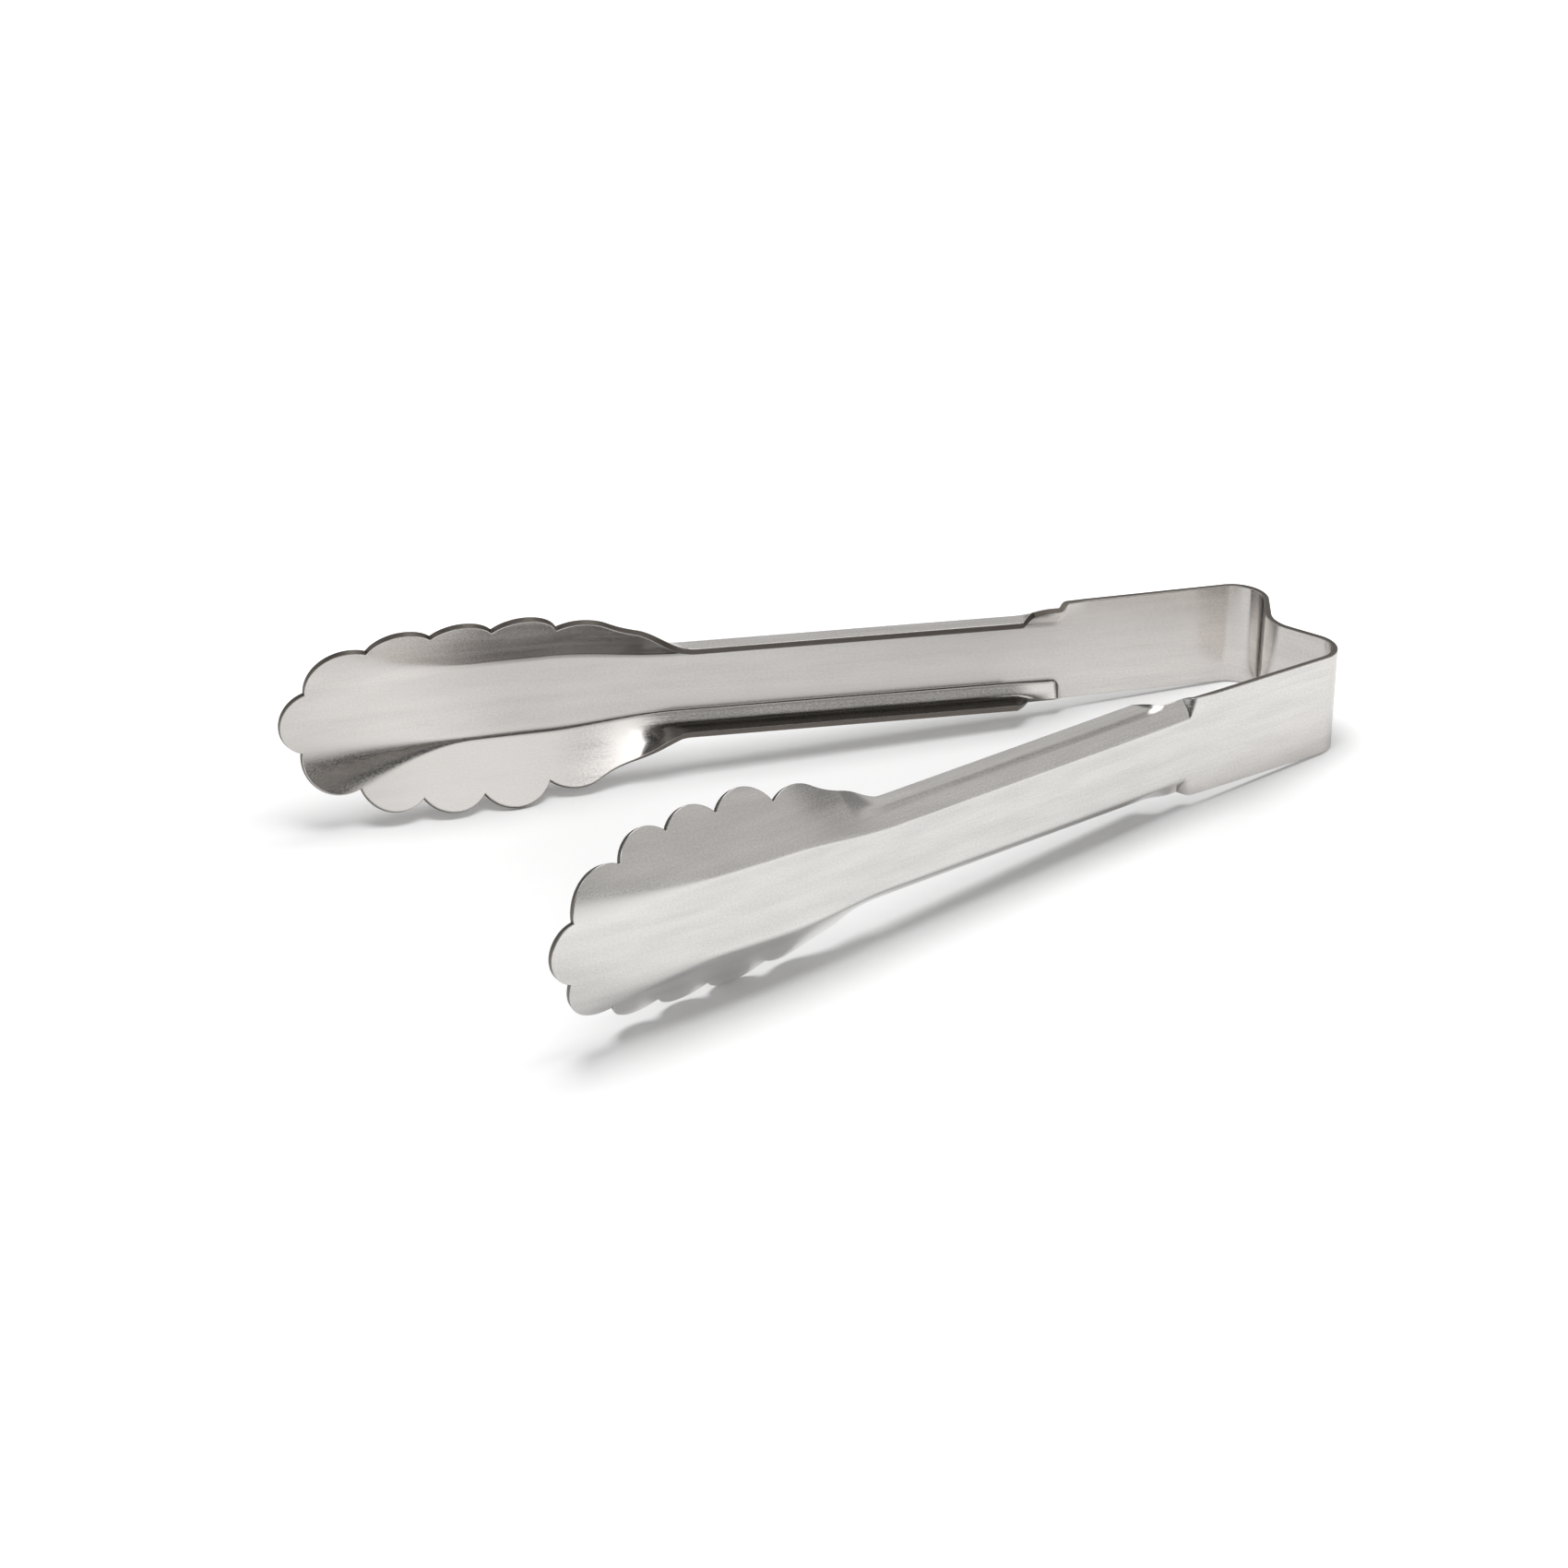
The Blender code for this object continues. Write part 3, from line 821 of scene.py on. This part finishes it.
def floor_glow(tree, x, y, inner, path):
    """A glow that grows away from the tongs, which only camera rays, reflected rays
    and rays through glass see, so that the shadows stay."""
    mirrored = path.outputs["Is Glossy Ray"]
    wide = math_node(tree, "MULTIPLY_ADD", x, GLOW_SQUEEZE_X, GLOW_SHIFT_X)
    away = math_node(tree, "ADD", product(tree, wide, wide), product(tree, y, y))
    away = math_node(tree, "SQRT", away)
    near = ramp(tree, mirrored, 0.0, 1.0, NEAR_GLOW, NEAR_GLOW_MIRRORED)
    far = ramp(tree, mirrored, 0.0, 1.0, FAR_GLOW, FAR_GLOW_MIRRORED)
    glow = ramp(tree, away, *GLOW_REACH, near, far)
    # Painted light on the floor under the near head, seen only by reflected rays
    patch = product(tree, band(tree, y, LOW_PATCH_OPENING_Y, LOW_PATCH_CLOSING_Y), mirrored)
    patch = product(tree, patch, fall(tree, x, *LOW_PATCH_CLOSING_X))
    glow = math_node(tree, "MULTIPLY_ADD", patch, LOW_PATCH_GLOW, glow)
    glow = math_node(tree, "MULTIPLY_ADD", inner, INNER_GLOW, glow)
    seen = highest(tree, path.outputs["Is Camera Ray"], mirrored, path.outputs["Is Transmission Ray"])
    return product(tree, seen, glow)


def floor_material(name):
    material, tree, shader = new_material(name)
    shader.inputs["Roughness"].default_value = 1.0
    shader.inputs["Specular IOR Level"].default_value = 0.0
    shader.inputs["Emission Color"].default_value = (1.0, 1.0, 1.0, 1.0)
    path = tree.nodes.new("ShaderNodeLightPath")
    mirrored = path.outputs["Is Glossy Ray"]
    where = tree.nodes.new("ShaderNodeTexCoord")
    split = tree.nodes.new("ShaderNodeSeparateXYZ")
    tree.links.new(where.outputs["Object"], split.inputs[0])
    x, y, _ = split.outputs
    # Painted shade: the floor between the arms is greyer to the camera
    inner = fall(tree, math_node(tree, "ABSOLUTE", y), *INNER_HALF_Y)
    inner = product(tree, inner, ramp(tree, x, *INNER_X), path.outputs["Is Camera Ray"])
    plain = ramp(tree, inner, 0.0, 1.0, 1.0, INNER_LEVEL)
    # Painted shade and light on the floor, seen only in reflections
    level = blend_number(tree, mirrored, plain, mirrored_level(tree, x, y, path.outputs["Glossy Depth"]))
    cool = product(tree, mirrored, fall(tree, y, *COOL_FADE_Y))
    colour = scaled_colour(tree, blend_colour(tree, cool, FLOOR_WHITE, FLOOR_COOL), level)
    tree.links.new(colour, shader.inputs["Base Color"])
    tree.links.new(floor_glow(tree, x, y, inner, path), shader.inputs["Emission Strength"])
    return material


def make_floor():
    mesh = bpy.data.meshes.new("floor")
    corners = [(-1, -1), (1, -1), (1, 1), (-1, 1)]
    mesh.from_pydata([(x * FLOOR_REACH, y * FLOOR_REACH, 0) for x, y in corners], [], [(0, 1, 2, 3)])
    mesh.materials.append(floor_material("floor_white"))
    floor = bpy.data.objects.new("floor", mesh)
    bpy.context.scene.collection.objects.link(floor)


# Grey levels of the studio by direction: height, and turn from the front to the right
SKY_GREY = 0.60
SKY_DARK = 0.05
SKY_BRIGHT = 1.15
SKY_DIM = 0.12
SKY_RIGHT = 0.28
SKY_BEHIND = 0.15
SKY_TOP = 0.08
SKY_PATCH = 2.2
GAP_HEIGHTS = (28.0, 32.0)
PANEL_HEIGHTS = (38.5, 62.5)
TOP_HEIGHTS = (40.0, 56.0)
FRONT_LEFT_TURNS = (-54.0, -34.0)
FRONT_RIGHT_TURNS = (22.0, 40.0)
RIGHT_TURNS = ((58.0, 78.0), (115.0, 135.0))
RIGHT_HEIGHTS = (22.0, 32.0)
BEHIND_TURNS = (148.0, 166.0)
BEHIND_HEIGHTS = (12.0, 22.0)

# Bright patches, each the heights and the turns over which it fades in and out
PATCHES = (
    (((51.5, 54.0), (70.0, 73.0)), ((-68.0, -58.0), (6.0, 12.0))),
    (((46.0, 52.0), (72.0, 76.0)), ((55.0, 65.0), (125.0, 135.0))),
)


def studio_level(tree, height, turn):
    """A grey studio with a dark gap in front of the tongs and a pale panel above it.
    It is darker at the top, and low down behind the tongs and on their right."""
    panel = ramp(tree, height, *PANEL_HEIGHTS, SKY_BRIGHT, SKY_DIM)
    front = ramp(tree, height, *GAP_HEIGHTS, SKY_DARK, panel)
    right = product(tree, band(tree, turn, *RIGHT_TURNS), fall(tree, height, *RIGHT_HEIGHTS))
    behind = ramp(tree, math_node(tree, "ABSOLUTE", turn), *BEHIND_TURNS)
    behind = product(tree, behind, fall(tree, height, *BEHIND_HEIGHTS))
    around = ramp(tree, right, 0.0, 1.0, SKY_GREY, SKY_RIGHT)
    around = ramp(tree, behind, 0.0, 1.0, around, SKY_BEHIND)
    around = ramp(tree, height, *TOP_HEIGHTS, around, SKY_TOP)
    beside = highest(tree, ramp(tree, turn, *FRONT_RIGHT_TURNS), fall(tree, turn, *FRONT_LEFT_TURNS))
    return blend_number(tree, beside, front, around)


def make_world():
    """White to the camera. The steel mirrors the studio and its two bright patches,
    and what it mirrors a second time is dimmer."""
    world = bpy.data.worlds.new("studio")
    bpy.context.scene.world = world
    world.use_nodes = True
    tree = world.node_tree
    place = tree.nodes.new("ShaderNodeTexCoord")
    path = tree.nodes.new("ShaderNodeLightPath")
    split = tree.nodes.new("ShaderNodeSeparateXYZ")
    tree.links.new(place.outputs["Generated"], split.inputs[0])
    x, y, z = split.outputs
    height = math_node(tree, "DEGREES", math_node(tree, "ARCSINE", z))
    turn = math_node(tree, "DEGREES", math_node(tree, "ARCTAN2", x, product(tree, y, -1.0)))
    patches = [product(tree, band(tree, height, *high), band(tree, turn, *wide)) for high, wide in PATCHES]
    patch = product(tree, highest(tree, *patches), path.outputs["Is Glossy Ray"])
    level = ramp(tree, patch, 0.0, 1.0, studio_level(tree, height, turn), SKY_PATCH)
    level = product(tree, level, ramp(tree, path.outputs["Glossy Depth"], 1.0, 2.0, 1.0, DEEP_SHARE))
    level = blend_number(tree, path.outputs["Is Camera Ray"], level, 1.0)
    background = tree.nodes["Background"]
    background.inputs["Color"].default_value = (1.0, 1.0, 1.0, 1.0)
    tree.links.new(level, background.inputs["Strength"])


LAMP_PLACE = (-0.045, 0.0, 0.65)
LAMP_SIZE = 0.48
LAMP_POWER = 3.9


def key_lamp(name):
    """A round soft lamp over the tongs. The steel mirrors the studio, not the lamp."""
    data = bpy.data.lights.new(name, "AREA")
    data.shape = "DISK"
    data.size = LAMP_SIZE
    data.energy = LAMP_POWER
    lamp = bpy.data.objects.new(name, data)
    bpy.context.scene.collection.objects.link(lamp)
    lamp.location = LAMP_PLACE
    lamp.visible_glossy = False


steel = steel_material("satin_steel")
make_bow(steel)
for label, side in (("near", -1.0), ("far", 1.0)):
    make_side(label, side, steel)
set_camera()
make_floor()
make_world()
key_lamp("key")

bpy.context.scene.view_settings.view_transform = "Standard"
